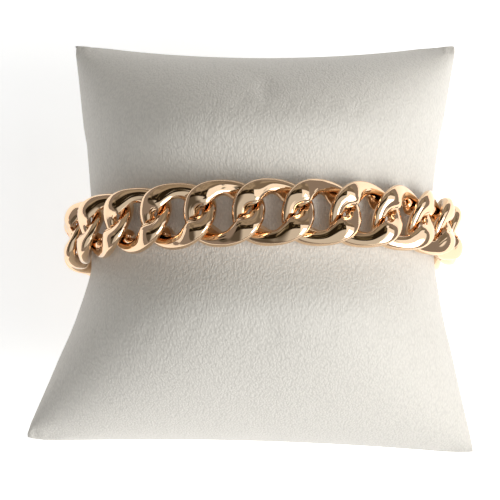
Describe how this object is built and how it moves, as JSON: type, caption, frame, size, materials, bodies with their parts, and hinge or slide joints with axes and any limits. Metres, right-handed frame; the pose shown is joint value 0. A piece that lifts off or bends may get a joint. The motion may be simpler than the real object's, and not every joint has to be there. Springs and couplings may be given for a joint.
{
  "type": "cuban link bracelet on a display cushion",
  "caption": "Curb chain bracelet of broad polished rose gold links with a plain box clasp, closed round a pinched white leather display cushion that lies on its back.",
  "frame": {"origin": "middle of the bottom of the object's box, on the surface that the cushion lies on", "axes": "+X along the front of the bracelet, to the right; +Y up the band, towards the cushion's top seam; +Z out of the cushion's front face, up"},
  "size_m": [0.0816, 0.0782, 0.0653],
  "materials": {
    "rose_gold": "polished rose gold",
    "white_leather": "fine grained white leatherette"
  },
  "bodies": {
    "root": {"link_01": "rose_gold", "link_02": "rose_gold", "link_03": "rose_gold", "link_04": "rose_gold", "link_05": "rose_gold", "link_06": "rose_gold", "link_07": "rose_gold", "link_08": "rose_gold", "link_09": "rose_gold", "link_10": "rose_gold", "link_11": "rose_gold", "link_12": "rose_gold", "link_13": "rose_gold", "link_14": "rose_gold", "link_15": "rose_gold", "link_16": "rose_gold", "link_17": "rose_gold", "link_18": "rose_gold", "link_19": "rose_gold", "link_20": "rose_gold", "link_21": "rose_gold", "link_22": "rose_gold", "link_23": "rose_gold", "clasp": "rose_gold", "cushion": "white_leather"}
  },
  "joints": []
}
